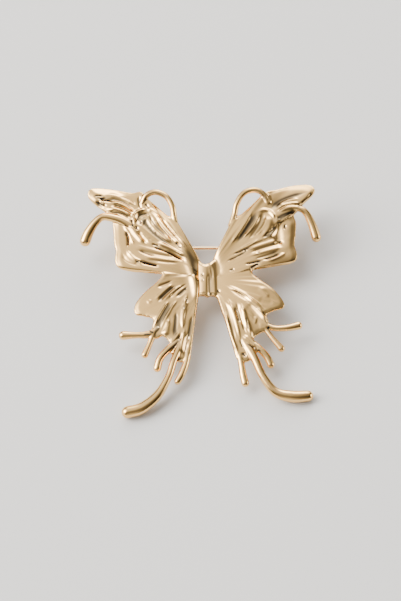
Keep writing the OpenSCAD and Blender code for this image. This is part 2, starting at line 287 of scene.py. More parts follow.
@dataclass(frozen=True)
class Streaks:
    """Faint streaks that run out from a wing's root, as the wax was drawn."""

    strength: float
    source: Point = (-6.0, -2.0)
    coarse: float = 46.0
    sway: float = 2.2
    sways: float = 7.0
    fine: float = 71.0
    fine_share: float = 0.7
    fine_shift: float = 1.0
    full_at: float = 50.0
    calm_to: float = 40.0

    def heights(self, place: Array) -> Array:
        """How much the streaks lift each place.

        Args:
            place: places in hundredths, one row each.

        Returns:
            The lift of each, in hundredths of the relief.
        """
        out, up = place[:, 0] - self.source[0], place[:, 1] - self.source[1]
        way = np.arctan2(up, out)
        far = np.hypot(out, up)
        waves = (np.sin(self.coarse * way + self.sway * np.sin(self.sways * way))
                 + self.fine_share * np.sin(self.fine * way + self.fine_shift))
        return self.strength * waves * far / self.full_at * smooth_step(far / self.calm_to)


@dataclass
class Wing:
    """The upper and lower wing of one side, cast as one folded sheet with a rolled edge.

    Its rim is a table of out, up, height and place along the root, in hundredths, and its root
    is the line between two places. The sheet bows up by the crown between them, less where the
    way is shorter than full_ray. Walls, edges and steps are in millimetres.
    """

    rim: Table
    root: tuple[Point, Point]
    folds: tuple[Fold, ...]
    mirrored: bool
    streaks: Streaks
    crown: float = 30.0
    full_ray: float = 60.0
    face_lift: float = 0.4
    calm_root: float = 5.0
    calm_rim: float = 6.0
    wall: float = 1.15
    edge_wall: float = 0.84
    edge_r: float = 0.42
    edge_inset: float = 0.28
    edge_blend: float = 14.0
    side_blend: float = 10.0
    crowding: float = 1.25
    back_folds: float = 2.1
    columns: int = 640
    rows: int = 150
    edge_steps: int = 900
    side_steps: int = 120
    least_step: float = 0.02
    edge_sides: int = 10

    def shades(self, skin: Array) -> Array:
        """How much painted shade the folds lay on the plating at points of the fused skin.

        Args:
            skin: points in the brooch's plane, in millimetres.

        Returns:
            The shade of each, from 0 to 1.
        """
        side = -1.0 if self.mirrored else 1.0
        seen = np.column_stack([side * skin[:, 0] * 100 / HALF_W,
                                skin[:, 1] * 100 / HALF_H + as_seen(skin[:, 2])])
        return shades_of(self.folds, seen)

    def surface(self, s: Array, t: Array, finest: float = 0.0) -> Array:
        """Middle of the sheet.

        Args:
            s: places along the rim, in rows of its table.
            t: shares of the way from the root to the rim.
            finest: folds narrower than this are left out.

        Returns:
            One point each in the brooch's plane, in millimetres, as if the wing were a right one.
        """
        row = through(self.rim, s)
        down = row[:, 3:4] / 100
        top, foot = np.array(self.root, float)
        start = top * (1 - down) + foot * down
        ray = row[:, 0:2] - start
        place = start + ray * t[:, None]
        reach = np.minimum(np.hypot(ray[:, 0], ray[:, 1]) / self.full_ray, 1.0)
        high = row[:, 2] * t ** 2 + self.crown * reach * np.sin(np.pi * t)
        lead = as_seen(high * RELIEF / 100 + self.face_lift)
        seen = place + np.column_stack([np.zeros(len(high)), lead])
        for fold in self.folds:
            if fold.width >= finest:
                high = high + fold.heights(seen)
        if finest == 0.0:
            high = high + (self.streaks.heights(place) * smooth_step(self.calm_root * t)
                           * smooth_step(self.calm_rim * (1 - t)))
        return in_mm(place[:, 0], place[:, 1], high * RELIEF / 100)

    def face_and_back(self, u: Array, w: Array) -> tuple[Array, Array]:
        """Points of the folded face and of the smoother back.

        Args:
            u: shares along the rim.
            w: shares of the way from the root to the rim.

        Returns:
            The points of the face and of the back.
        """
        t = 1 - (1 - w) ** self.crowding
        along = u * (len(self.rim) - 1)
        rim_gap = np.minimum((1 - t) * self.edge_blend,
                             np.minimum(u, 1 - u) * self.columns / self.side_blend)
        half = (self.edge_wall + (self.wall - self.edge_wall) * smooth_step(rim_gap)) / 2
        up = half[:, None] * np.array([[0.0, 0.0, 1.0]])
        return self.surface(along, t) + up, self.surface(along, t, self.back_folds) - up

    def edge(self) -> Array:
        """Course of the rolled edge: out along the inner edge, round the rim and back.

        Returns:
            Its points in the brooch's plane, in millimetres, as if the wing were a right one.
        """
        last = float(len(self.rim) - 1)
        side = np.linspace(0.0, 1.0, self.side_steps)
        s = np.concatenate([np.zeros(self.side_steps), np.linspace(0, last, self.edge_steps),
                            np.full(self.side_steps, last)])
        t = np.concatenate([side, np.ones(self.edge_steps), side[::-1]])
        points = self.surface(s, t)
        steps = np.linalg.norm(np.diff(points, axis=0), axis=1)
        points = points[np.concatenate([[True], steps > self.least_step])]
        ways = np.gradient(points[:, :2], axis=0)
        ways /= np.hypot(ways[:, 0], ways[:, 1])[:, None]
        points[:, 0] += self.edge_inset * ways[:, 1]
        points[:, 1] -= self.edge_inset * ways[:, 0]
        return points

    def build(self) -> BMesh:
        """The sheet, its rolled edge and the boss on its back.

        Returns:
            The wing's mesh in the brooch's plane, in millimetres.
        """
        bm = bmesh.new()
        walled_sheet(bm, self.columns, self.rows, self.face_and_back)
        middle = np.array([v.co for v in bm.verts])
        course = self.edge()
        Tube(course, np.full(len(course), self.edge_r), sides=self.edge_sides).build(bm)
        Boss().build(bm, middle)
        if self.mirrored:
            bmesh.ops.scale(bm, vec=(-1, 1, 1), verts=bm.verts)
            bmesh.ops.reverse_faces(bm, faces=bm.faces)
        return bm


@dataclass
class Tube:
    """A round strand along a course, with round ends."""

    course: Array
    radii: Array
    sides: int = 18
    end_turn: int = 80
    end_step: int = 16
    upright: float = 0.2
    weld: float = 1e-4

    def rings(self) -> tuple[Array, Array]:
        """Course and radii, with the rings of both round ends added.

        Returns:
            The middles of all rings and their radii.
        """
        turns = np.radians(np.arange(self.end_turn, 0, -self.end_step))
        ahead = self.course[0] - self.course[1]
        ahead /= np.linalg.norm(ahead)
        beyond = self.course[-1] - self.course[-2]
        beyond /= np.linalg.norm(beyond)
        first, last = self.radii[0], self.radii[-1]
        pole = 0.0
        middles = [self.course[0] + ahead * first]
        middles += [self.course[0] + ahead * first * math.sin(a) for a in turns]
        middles += list(self.course)
        middles += [self.course[-1] + beyond * last * math.sin(a) for a in turns[::-1]]
        middles += [self.course[-1] + beyond * last]
        radii = [pole] + [first * math.cos(a) for a in turns] + list(self.radii)
        radii += [last * math.cos(a) for a in turns[::-1]] + [pole]
        return np.array(middles), np.array(radii)

    def build(self, bm: BMesh) -> None:
        """Sweeps a circle along the course.

        Args:
            bm: the mesh to add the strand to.
        """
        middles, radii = self.rings()
        ways = np.gradient(middles, axis=0)
        ways /= np.linalg.norm(ways, axis=1)[:, None]
        side = np.cross(ways[0], (0.0, 0.0, 1.0))
        if np.linalg.norm(side) < self.upright:
            side = np.cross(ways[0], (0.0, 1.0, 0.0))
        sides, ups = [], []
        for way in ways:
            side = side - way * (side @ way)
            side = side / np.linalg.norm(side)
            sides.append(side)
            ups.append(np.cross(way, side))
        last = len(middles) - 1
        made = bmesh.ops.create_grid(bm, x_segments=last, y_segments=self.sides, size=1.0)["verts"]
        for vert in made:
            i = round((vert.co.x + 1) / 2 * last)
            a = math.pi * (vert.co.y + 1)
            spoke = math.cos(a) * sides[i] + math.sin(a) * ups[i]
            vert.co = Vector(middles[i] + radii[i] * spoke)
        faces = list({f for v in made for f in v.link_faces})
        bmesh.ops.remove_doubles(bm, verts=made, dist=self.weld)
        bmesh.ops.recalc_face_normals(bm, faces=[f for f in faces if f.is_valid])


@dataclass(frozen=True)
class Boss:
    """The cast boss that a finding's peg is staked in, in millimetres."""

    x: float = 13.5
    y: float = 10.8
    radius: float = 2.0
    top_rings: tuple[float, ...] = (0.0, 0.7, 1.4)
    face_z: float = -2.2
    bevel: float = 0.12
    socket_r: float = 0.8
    socket_top: float = -0.85
    sides: int = 48
    weld: float = 1e-5

    def build(self, bm: BMesh, middle: Array) -> None:
        """Turns the boss round its axis and lets its top follow the wing.

        Args:
            bm: the mesh to add the boss to.
            middle: points of the wing's middle.
        """
        profile = [(r, 0.0) for r in (*self.top_rings, self.radius)]
        profile += [(self.radius, self.face_z + self.bevel),
                    (self.radius - self.bevel, self.face_z), (self.socket_r, self.face_z),
                    (self.socket_r, self.socket_top), (0.0, self.socket_top)]
        others = set(bm.verts)
        made = [bm.verts.new((r, 0.0, z)) for r, z in profile]
        edges = [bm.edges.new(pair) for pair in zip(made, made[1:])]
        bmesh.ops.spin(bm, geom=made + edges, cent=(0, 0, 0), axis=(0, 0, 1),
                       angle=2 * math.pi, steps=self.sides, use_merge=True)
        verts = [v for v in bm.verts if v not in others]
        bmesh.ops.remove_doubles(bm, verts=verts, dist=self.weld)
        verts = [v for v in verts if v.is_valid]
        for vert in verts:
            top = abs(vert.co.z) < self.weld / 10
            vert.co += Vector((self.x, self.y, 0.0))
            if top:
                near = np.argmin((middle[:, 0] - vert.co.x) ** 2 + (middle[:, 1] - vert.co.y) ** 2)
                vert.co.z = middle[near, 2]
        faces = list({f for v in verts for f in v.link_faces})
        bmesh.ops.recalc_face_normals(bm, faces=faces)


@dataclass(frozen=True)
class Strand:
    """A strand of molten metal: rows of out, up, height and radius in hundredths.

    Its end sinks by end_drop, in millimetres.
    """

    rows: Table
    end_drop: float = 0.0
    steps: int = 10

    def build(self, bm: BMesh, mirrored: bool) -> None:
        """Adds the strand.

        Args:
            bm: the mesh to add it to.
            mirrored: whether it is on the left side.
        """
        last = len(self.rows) - 1
        s = np.linspace(0, last, last * self.steps + 1)
        row = through(self.rows, s)
        side = -1 if mirrored else 1
        height = row[:, 2] * RELIEF / 100 - self.end_drop * (s / last) ** 2
        course = in_mm(side * row[:, 0], row[:, 1], height)
        Tube(course, row[:, 3] * DRIP_R / 100).build(bm)


@dataclass
class Body:
    """The gathered metal that joins the wings: a domed web with soft strands in its face.

    Places across and along are in hundredths, and heights, walls and radii in millimetres. The
    line of sight carries the web's face up by the lead. Its sides blend into the wings.
    """

    left: float = -10.2
    right: float = 14.0
    left_sink: float = 0.0
    right_sink: float = 0.25
    blend: float = 3.6
    bare: float = 1.5
    lead: float = 1.5
    top: Table = ((-13, 24), (-9, 19.5), (-6.5, 16), (-4, 14), (-2, 13.3), (0, 13.7),
                  (3, 15.2), (5.5, 18), (9, 22), (14, 28))
    foot: Table = ((-13, -20), (-9, -16.5), (-7, -14.4), (-4.5, -13.6), (-2, -13.9),
                   (0, -15), (2.5, -13.9), (5.5, -14), (9, -16.5), (14, -21))
    top_lead: float = 2.4
    foot_lead: float = 2.0
    round_off: float = 0.6
    round_reach: float = 2.6
    deep: float = -0.5
    wall: float = 1.15
    rim_r: float = 0.3
    rim_lead: float = 2.2
    rim_inset: float = 0.8
    rim_sink: float = 0.45
    rim_steps: int = 60
    rim_sides: int = 12
    columns: int = 90
    rows: int = 150

    def edge(self, table: Table, x: Array) -> Array:
        """How far up the top or foot lies at places across, as the photograph shows it."""
        s = np.interp(x, [row[0] for row in table], range(len(table)))
        return through(table, s)[:, 1]

    def height(self, x: Array, y: Array) -> Array:
        """How high the web's face stands, in millimetres, at places across and along."""
        place = np.column_stack([x, y])
        return sum(fold.heights(place) for fold in BODY_FOLDS) * RELIEF / 100 + self.wall / 2

    def shades(self, skin: Array) -> Array:
        """How much painted shade the body's folds lay on the plating.

        Args:
            skin: points in the brooch's plane, in millimetres.

        Returns:
            The painted shade of each, from 0 to 1.
        """
        x, y = skin[:, 0] * 100 / HALF_W, skin[:, 1] * 100 / HALF_H
        inside = (x > self.left + self.bare) & (x < self.right - self.bare)
        return inside * shades_of(BODY_FOLDS, np.column_stack([x, y + self.lead]))

    def face_and_back(self, u: Array, w: Array) -> tuple[Array, Array]:
        """Points of the domed face and of the flat back.

        Args:
            u: shares across the web.
            w: shares of the way from its foot to its top.

        Returns:
            The points of the face and of the back.
        """
        x = self.left + (self.right - self.left) * u
        low, high = self.edge(self.foot, x) - self.foot_lead, self.edge(self.top, x) - self.top_lead
        y = low + (high - low) * w
        gap = np.minimum(y - low, high - y)
        fall = (1 - smooth_step(gap / self.round_reach)) ** 2
        z = self.height(x, y + self.lead) - self.round_off * fall
        sink_l = 1 - smooth_step((x - self.left) / self.blend)
        sink_r = 1 - smooth_step((self.right - x) / self.blend)
        z = z + sink_l * (self.left_sink - z) + sink_r * (self.right_sink - z)
        return in_mm(x, y, z), in_mm(x, y, np.full(len(x), self.deep))

    def build(self) -> BMesh:
        """The web and the thin rims of its two open edges.

        Returns:
            The body's mesh in the brooch's plane, in millimetres.
        """
        bm = bmesh.new()
        walled_sheet(bm, self.columns, self.rows, self.face_and_back)
        x = np.linspace(self.left, self.right, self.rim_steps)
        for table, inward in ((self.top, -self.rim_inset), (self.foot, self.rim_inset)):
            y = self.edge(table, x) - self.rim_lead + inward
            course = in_mm(x, y, self.height(x, y) - self.rim_sink)
            Tube(course, np.full(len(x), self.rim_r), sides=self.rim_sides).build(bm)
        return bm


def fold_table(rows: tuple[tuple, ...]) -> tuple[Fold, ...]:
    """Folds from rows of start, middle and end, width, lift and, where given, shade tone (painted
    shade) and shape.
    """
    return tuple(Fold(row[0:2], row[2:4], row[4:6], *row[6:]) for row in rows)


CREASE = FoldShape.CREASE

LEFT_RIM: Table = (
    (27.5, 53.5, 40, 0), (33, 54.5, 35, 6), (42, 63, 35, 12), (51, 71, 45, 18),
    (55, 75.5, 50, 21), (63, 75, 40, 24), (77, 78, 30, 27), (90, 79, 40, 30),
    (97, 77.5, 55, 32), (98.8, 73, 50, 34), (95.5, 67.5, 40, 36), (84.5, 58, 40, 38),
    (79, 52.5, 30, 39), (77.3, 43.7, 22, 40), (76.3, 30.6, 20, 42), (74.8, 23.2, 20, 44),
    (75.2, 14.2, 14, 45), (71.5, 8.7, 8, 46), (58, 5.4, 10, 47), (43, 5.4, 22, 48),
    (36.5, 1.5, 40, 50), (41.5, -5.5, 30, 53), (51, -13.9, 20, 57), (58, -23.4, 10, 61),
    (58.3, -31.9, 10, 64), (51, -34.4, 20, 67), (43.8, -37.4, 30, 70), (44.5, -44.9, 25, 73),
    (46, -51.9, 20, 76), (41, -53.9, 20, 79), (36, -52.1, 30, 82), (30.5, -57.4, 30, 85),
    (30, -64.5, 20, 88), (24, -73.5, 15, 92), (14.2, -72, 15, 100))

RIGHT_RIM: Table = (
    (22, 53.5, 40, 0), (27, 55, 35, 6), (35.5, 63, 35, 12), (44, 71.5, 45, 18),
    (50, 76, 50, 21), (57, 77.8, 40, 24), (71, 82, 30, 27), (84, 82, 45, 30),
    (88.8, 78, 55, 32), (87, 73, 50, 34), (79.5, 65.5, 40, 36), (76, 60.5, 35, 38),
    (71.5, 55.8, 24, 40), (73, 48.6, 20, 41), (72.5, 37.6, 18, 42), (71.5, 28.7, 20, 44),
    (73.4, 18.6, 14, 45), (69, 13.6, 8, 46), (55, 10.8, 10, 47), (40, 9.3, 16, 48),
    (36.3, 4, 22, 50), (42, -2, 20, 53), (53.1, -10.5, 20, 57), (61.1, -20.5, 10, 61),
    (61.6, -26.5, 10, 64), (53.1, -29.8, 20, 67), (47.6, -34, 30, 70), (49.1, -40, 25, 73),
    (49.6, -47, 20, 76), (43.1, -48.8, 20, 79), (36.9, -54.5, 30, 82), (39.1, -60, 30, 85),
    (39, -67, 20, 88), (31, -74, 15, 92), (23.3, -71, 15, 100))

LEFT_FOLDS = fold_table((
    (-2, 40, 5.0, 13, 6.5, -4, 4.0, -10),
    (28, 38, 13.2, 8, 8.0, -24, 4.4, 23),
    (19, 28, 12.3, 13, 8.2, 0, 4.0, 0, 0.3),
    (12, 4, 9.6, -8, 9.0, -22, 3.2, 9),
    (45, 27.5, 38, 25.2, 30, 21.5, 0.8, -14, 0.9, CREASE),
    (35, 24.2, 27, 19.8, 17.5, 14.2, 0.9, -24, 1.0, CREASE),
    (46, 30.5, 42.5, 29.2, 39, 27.8, 0.8, -12, 0.8, CREASE),
    (57.5, 24.8, 50, 21.5, 43, 18.8, 0.8, -11, 0.7, CREASE),
    (56, 14.8, 48, 12.5, 38.5, 10, 1.2, -22, 1.0, CREASE),
    (58.5, 15, 57, 14.2, 55.5, 13.8, 1.0, -12, 0.8, CREASE),
    (67.8, 42.5, 65.2, 35, 65.8, 26.5, 1.1, -20, 0.9, CREASE),
    (61.8, 53, 61.8, 49, 61, 45, 1.0, -16, 0.9, CREASE),
    (59, 46.5, 58, 44.5, 57, 43.0, 1.0, -14, 0.9, CREASE),
    (54.5, 52, 55, 49.5, 54.5, 47.5, 1.0, -12, 0.8, CREASE),
    (56.5, 75, 56.3, 67, 54.5, 61, 0.9, -14, 0.6, CREASE),
    (51, 67, 50, 65, 48.5, 63, 0.9, -14, 0.9, CREASE),
    (26.5, 32, 24, 29, 21.5, 26, 0.9, -14, 0.9, CREASE),
    (94, 73.5, 90, 74, 86, 73.5, 0.9, -10, 0.8, CREASE),
    (90, 71, 84, 70, 77, 68.5, 1.1, -18, 0.9, CREASE),
    (93, 69, 88, 66.5, 83, 64.5, 1.1, -16, 0.9, CREASE),
    (92, 72.2, 88, 71.8, 83, 72, 0.8, -10, 0.9, CREASE),
    (91.5, 66.8, 88.5, 64.8, 86, 63.3, 0.8, -10, 0.9, CREASE),
    (89, 69, 87, 68, 85, 67, 0.8, 8),
    (54, 58.5, 46.5, 43, 28, 27.5, 2.4, -5, 0.52),
    (50, 57, 43.6, 43.5, 26, 27.5, 1.3, 7),
    (48.5, 58.5, 42, 46, 31, 34, 1.2, -8, 0.4),
    (46, 55, 38.5, 41, 27, 30, 1.7, 12),
    (43, 54, 36, 43, 26, 31.5, 1.0, -7, 0.35),
    (42.5, 58, 33, 43, 17, 25, 1.3, 11),
    (41, 58.5, 31, 43.5, 19, 28.5, 1.0, -7, 0.25),
    (37, 55, 28, 42, 15, 24.5, 1.3, 8),
    (62, 29.5, 46, 25, 24, 19, 1.4, 4),
    (60, 26, 44, 21.5, 22, 17.5, 1.0, -4, 0.15),
    (54, 19.5, 40, 17, 21, 14.3, 1.4, 5),
    (52, 16.5, 38, 14.5, 21, 13, 1.1, -4, 0.15),
    (44, 31.5, 30, 26.2, 16, 16.5, 1.5, 12),
    (66, 50, 59.5, 40, 51, 29, 2.2, 12),
    (57, 43, 54, 37, 48, 30, 1.4, -9),
    (70, 49, 64, 38, 60, 29, 1.1, 6),
    (84, 61, 72, 60.5, 61.5, 54, 2.0, 13),
    (81, 58.5, 71, 57.5, 62.5, 51, 1.2, -9, 0.3),
    (66, 26, 61, 18, 52, 14.5, 1.3, 9),
    (70, 23, 65, 14.5, 52, 10.8, 1.4, -6),
    (82, 68, 70, 65.5, 59, 57, 1.5, 16),
    (80, 65, 70, 62.8, 60.5, 56.5, 1.1, -8, 0.3),
    (84, 71, 72, 69, 60, 61.5, 1.2, -6, 0.5),
    (86, 75, 72, 72.5, 59, 64.5, 2.0, 10),
    (74, 73.5, 66, 70.5, 58, 65.5, 0.9, -7, 0.15),
    (60, 46, 59.5, 57.5, 50, 61.5, 1.6, 13),
    (51, 61.5, 44.5, 59.5, 39.5, 52, 1.4, 10),
    (57.0, 47, 55.8, 55.5, 46, 57, 1.7, -11, 0.4),
    (54, 47, 53, 51, 50, 53.5, 1.2, 6),
    (37, 0.5, 24, 2.3, 9, 2.2, 1.6, -4, 0.15),
    (41, -8.5, 35, -6, 28, -2.5, 1.4, -9, 0.15),
    (41, -22, 33.5, -14.3, 25.5, -6.8, 1.6, -10, 0.45),
    (43, -20, 36, -12, 28, -5.5, 1.3, 6),
    (37, -22, 29, -13, 18, -5.5, 1.3, 6),
    (31, -19, 25, -11.5, 16, -5, 1.0, -7, 0.1),
    (25.5, -17.5, 20.8, -12.8, 15.8, -7.8, 1.2, -8, 0.6),
    (49, -22.5, 47, -21, 46, -19.5, 1.8, 4),
    (16.5, -14, 19.5, -30, 20, -46, 1.9, 11),
    (16.3, -17.5, 16.8, -20, 17.3, -23, 0.8, -10, 0.7, CREASE),
    (18.5, -24, 19, -26, 19.2, -28, 0.8, -7, 0.5, CREASE),
    (43, -52, 36.3, -34.5, 28.5, -20.5, 2.3, -5, 0.5),
    (44, -44, 38, -31, 31, -20, 1.2, 8),
    (38, -46, 32, -32, 24, -19, 1.2, 7),
    (26.8, -53, 25.8, -41, 25.2, -29.5, 1.8, -7, 0.7),
    (34, -51, 33.0, -45, 31, -35, 2.4, 10),
    (16.5, -60, 14.0, -46, 12.0, -33, 1.7, -9, 0.42),
    (17, -72, 17.3, -60, 15, -49, 1.5, -12, 0.3),
    (22, -68, 20.5, -56, 18.5, -44, 1.6, 9),
    (36, -68, 26.5, -59.5, 20, -48, 2.0, -7, 0.35),
    (36, -63, 28.5, -56.5, 22, -46, 1.7, 7),
    (47.5, -46.5, 45, -47.5, 43.5, -48.5, 1.0, -14, 0.9, CREASE),
    (52, -50.5, 49, -49.5, 46, -50, 0.8, -8, 0.7, CREASE),
    (25, -73, 23, -71.5, 20, -71, 0.9, -12, 0.8, CREASE),
))

RIGHT_FOLDS = fold_table((
    (0, 30, 4.5, 13, 5.5, 0, 4.6, -20),
    (37, 60, 29, 45.5, 18, 29, 1.4, 7),
    (41.5, 60, 33.5, 46, 24, 31, 2.2, -6, 0.75),
    (43.0, 57, 37.5, 46, 28, 34.5, 1.3, 9),
    (46, 60, 43, 47, 33, 34, 2.2, -9, 0.2),
    (48.3, 57, 47, 47, 39, 37, 1.5, 6),
    (51, 57, 50.2, 47, 45, 37, 2.6, 7),
    (41, 59.5, 51, 60, 55.6, 51, 1.4, 12),
    (56.0, 57, 56.6, 44.5, 46.5, 34.5, 1.9, 10),
    (55.5, 48, 52.8, 40.5, 45, 36, 1.7, -2, 0.65),
    (51, 37, 38, 31, 19, 21, 1.4, 7),
    (36.5, 28.5, 29, 24.5, 20.5, 20.8, 0.75, -11, 0.9, CREASE),
    (32.5, 23.8, 24, 19, 15, 14.3, 0.75, -10, 0.8, CREASE),
    (32, 25.5, 31, 24, 30.5, 23, 0.9, -8, 0.8, CREASE),
    (60, 34, 48, 30.5, 30, 24, 1.8, 7),
    (59, 30.5, 48, 27, 34, 22, 1.2, -6, 0.15),
    (60.5, 27.5, 50, 24.3, 33, 19, 1.5, 7),
    (59.5, 24.3, 50, 20.3, 37, 16.5, 1.2, -6, 0.25),
    (61, 34, 60, 32, 59, 30.5, 1.0, -12, 0.8, CREASE),
    (60, 23, 53, 18.5, 44, 16, 0.85, -14, 0.8, CREASE),
    (46, 16, 38, 13.5, 30, 12.3, 0.85, -13, 0.9, CREASE),
    (43.5, 13, 38.5, 10.8, 34.5, 7.5, 0.9, -14, 1.0, CREASE),
    (43, 22.3, 41.5, 22.2, 40, 21.7, 0.9, -6, 0.4, CREASE),
    (22, 8, 20, 7.2, 17.5, 6.5, 0.9, -9, 0.7, CREASE),
    (57.5, 53, 58, 40, 59.5, 26, 3.6, -18),
    (67, 53, 66.5, 40, 66.5, 25, 4.2, 6),
    (64.5, 48, 64, 45.5, 63.8, 43, 0.9, -12, 0.7, CREASE),
    (64, 23, 58, 18.5, 48, 14.5, 1.4, 7),
    (56.5, 50.5, 64, 56.8, 76, 59.3, 2.1, -7, 0.75),
    (57.5, 60, 65, 63.8, 76, 65.3, 1.0, -9, 0.2),
    (57.5, 62, 66, 66.3, 77, 67.3, 1.1, 9),
    (52.5, 60.5, 63, 70.7, 83, 77.5, 2.6, -6, 0.85),
    (57, 62.8, 65, 68.8, 76, 71, 1.4, 8),
    (87, 79, 83, 72, 75, 65.8, 1.0, -7, 0.3),
    (80.5, 67, 77, 65, 73.5, 64.3, 0.9, -12, 0.7, CREASE),
    (47.5, 68, 47, 73, 42.5, 76.5, 1.0, -8, 0.3),
    (50.5, 76, 51, 71.5, 52.5, 66, 1.2, 12),
    (24, 57.5, 23.8, 55, 23.5, 53, 1.0, -12, 0.6, CREASE),
    (9.5, -13.5, 8.8, -12, 8.5, -10, 1.0, -12, 0.9, CREASE),
    (42, -8, 45.8, -13, 50, -18, 2.2, 4),
    (41, -18, 47, -21, 54, -22, 2.4, -3),
    (14, -6, 31, -15.5, 48, -30, 1.3, 8),
    (16, -9, 31, -18.5, 46.5, -33, 1.0, -8, 0.15),
    (29, -17, 40, -26.5, 49, -42, 2.1, 15),
    (31, -22, 37.5, -31, 42, -45, 2.8, -6),
    (40, -33, 39, -37, 38, -41, 1.2, 4),
    (26.5, -21, 31, -37, 36.5, -54, 1.9, 13),
    (30.8, -34, 31.8, -40, 33, -46, 0.8, -8, 0.5, CREASE),
    (23, -20, 27, -35, 31, -50, 1.3, -9, 0.15),
    (16, -16, 22, -35, 26.5, -56, 1.4, 7),
    (22.5, -25, 24, -32.5, 26.5, -41, 0.8, -11, 0.7, CREASE),
    (14, -20, 18.5, -38, 23, -58, 1.3, -5, 0.15),
    (14, -28, 18, -48, 25, -67, 1.6, 9),
    (27, -53, 28, -58, 30, -62, 1.1, -12, 0.5),
    (28.5, -50, 34, -56, 42, -64, 1.9, 11),
    (31, -57, 35, -60, 39.5, -63, 0.8, -10, 0.7, CREASE),
    (28, -65.5, 29.2, -67.5, 31.5, -69, 1.1, -12, 0.8, CREASE),
    (40, -62.5, 41.5, -63.5, 42.8, -65, 1.0, -12, 0.8, CREASE),
    (49.8, -42, 49, -44, 48, -45.3, 1.0, -17, 1.0, CREASE),
))

BODY_FOLDS = fold_table((
    (-0.8, 26, -2.3, 0, -3.0, -28, 5.2, 23),
    (0.4, 24, 2.8, 3, 2.2, -26, 1.2, 3),
    (1.6, 24, 5.0, 2, 5.6, -26, 2.6, 10),
    (2.4, 6, 1.8, -7, 2.8, -24, 1.7, -6, 0.32),
    (1.6, 12, 3.5, 5, 3.6, -2, 0.9, -5, 0.2),
    (-3.9, 4.5, -4.1, 3, -4.1, 1.5, 0.7, -9, 0.7, CREASE),
    (-3.6, -1, -3.8, -2, -3.8, -3.3, 0.6, -7, 0.6, CREASE),
))

LEFT_STRANDS: dict[str, Table] = {
    "loop": ((26, 46, 30, 70), (27.5, 54, 45, 72), (29, 62, 70, 72), (34, 70, 85, 72),
             (43, 74, 85, 72), (50.5, 71.5, 70, 72), (54, 65.5, 45, 66)),
    "upper_drip": ((52, 29, 8, 50), (57.5, 36.5, 26, 80), (62.5, 44, 38, 100),
                   (70, 49.3, 46, 105), (79, 52.3, 50, 96), (87, 53, 45, 90), (93, 48.5, 25, 100),
                   (98, 41.5, -5, 122), (100.8, 35, -30, 132)),
    "drip_1": ((40, -46.2, 25, 74), (47.5, -50.4, 20, 88), (57, -50.9, 15, 78),
               (68, -50.5, 0, 108)),
    "drip_2": ((43.2, -48.4, 20, 92), (46.2, -57.6, 15, 66), (50.4, -67.3, 0, 84)),
    "drip_3": ((24, -57, 20, 90), (32, -64, 25, 88), (38, -71, 15, 88), (40.3, -78.8, 0, 96)),
    "drip_4": ((15.5, -62, 20, 62), (17, -74, 15, 76), (20.5, -84, 5, 84), (24, -90, -5, 80)),
    "tail": ((21, -58, 20, 100), (27, -73.5, 30, 86), (31.2, -87, 25, 86), (40, -102.2, 11, 114),
             (52.4, -112.4, 1.5, 136), (63.6, -115.6, 1.5, 142)),
}

RIGHT_STRANDS: dict[str, Table] = {
    "loop": ((19, 46, 30, 66), (22.5, 56, 45, 70), (24.3, 64, 70, 70), (30, 73, 85, 70),
             (39, 76, 85, 70), (46.5, 73, 70, 70), (50, 65.5, 45, 66)),
    "upper_drip": ((57, 55, 40, 56), (65, 60, 60, 60), (74, 61, 50, 70), (81, 58, 40, 84),
                   (86.5, 48.5, 5, 104), (90, 38.3, -30, 118)),
    "drip_1": ((44.5, -40.9, 25, 66), (53.5, -44.9, 20, 68), (63.5, -44.7, 15, 76),
               (73.5, -41.9, 0, 98)),
    "drip_2": ((45.5, -43.8, 20, 64), (52, -52.8, 15, 60), (59.5, -61.8, 0, 86)),
    "drip_3": ((31.4, -54.5, 20, 86), (40.4, -62, 25, 86), (47.4, -69.3, 15, 88),
               (50.8, -75.8, 0, 92)),
    "drip_4": ((24.5, -62.8, 20, 64), (27, -74.8, 15, 74), (28.6, -84.8, 5, 88),
               (30.2, -91.4, -5, 94)),
    "tail": ((29, -56, 20, 110), (37.6, -71.5, 30, 98), (44.2, -86, 20, 98), (54.2, -98.6, 6, 110),
             (67.4, -102, 1.5, 140), (80.2, -101, 1.5, 130)),
}

LEFT_TAIL_DROP = 0.6
RIGHT_TAIL_DROP = 1.28
LEFT_ROOT = ((4.2, 11.8), (7.4, -14.8))
RIGHT_ROOT = ((3, 13), (8, -16.5))


def add_node(tree: bpy.types.NodeTree, kind: str, **values: float) -> bpy.types.Node:
    """Adds a shader node.

    Args:
        tree: the nodes to add it to.
        kind: its type, without ShaderNode.
        values: constants of its sockets, with _ for a space in their names.

    Returns:
        The node.
    """
    node = tree.nodes.new("ShaderNode" + kind)
    for name, value in values.items():
        node.inputs[name.replace("_", " ")].default_value = value
    return node


def add_maths(tree: bpy.types.NodeTree, operation: str, source: bpy.types.NodeSocket,
              *constants: float) -> bpy.types.Node:
    """Adds a maths node.

    Args:
        tree: the nodes to add it to.
        operation: what it does.
        source: the socket that gives its first value.
        constants: its other values.

    Returns:
        The node.
    """
    node = add_node(tree, "Math")
    node.operation = operation
    tree.links.new(source, node.inputs[0])
    for socket, constant in zip(node.inputs[1:], constants):
        socket.default_value = constant
    return node


